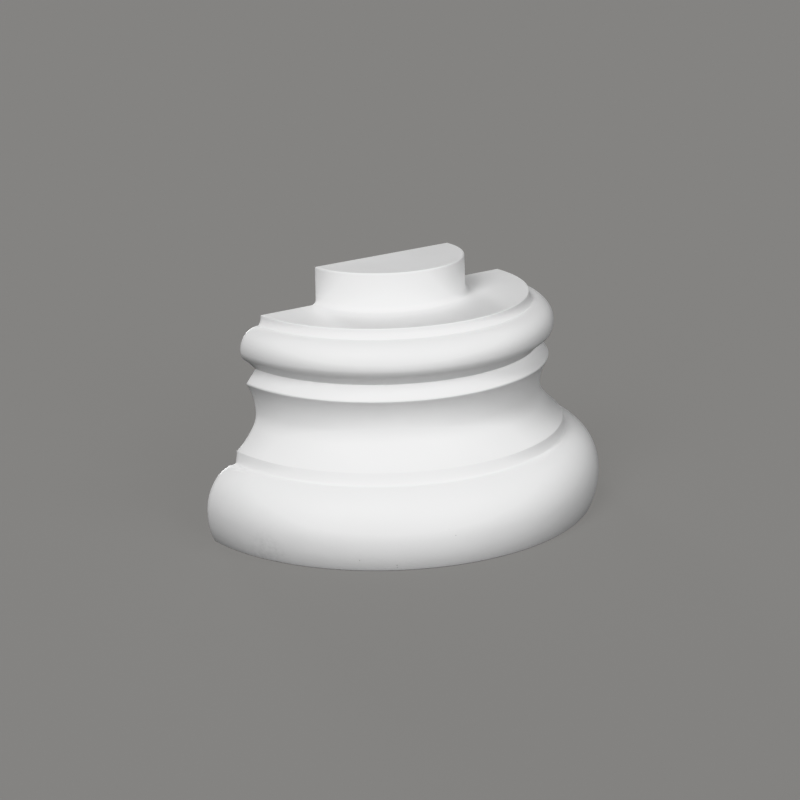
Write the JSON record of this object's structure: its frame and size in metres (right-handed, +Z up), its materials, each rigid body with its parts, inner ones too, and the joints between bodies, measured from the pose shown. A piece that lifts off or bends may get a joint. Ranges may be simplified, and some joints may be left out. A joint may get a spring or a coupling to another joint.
{
  "type": "half column base",
  "caption": "Half-round moulded base of a half column, with a flat back, a torus over a scotia and a wider torus below, and a spigot for the shaft.",
  "frame": {"origin": "middle of the underside's bounding box, on the surface that the base stands on", "axes": "+Z up along the column, +X along the wall, +Y into the wall that the flat back faces, so the moulding swells towards -Y. The column's axis is at y = 0.085 m, in the plane of the flat back"},
  "size_m": [0.34, 0.17, 0.2008],
  "materials": {
    "primed_foam": "white primer on moulded polyurethane, matt with a very slight sheen"
  },
  "bodies": {
    "root": {"half_column_base": "primed_foam"}
  },
  "joints": []
}
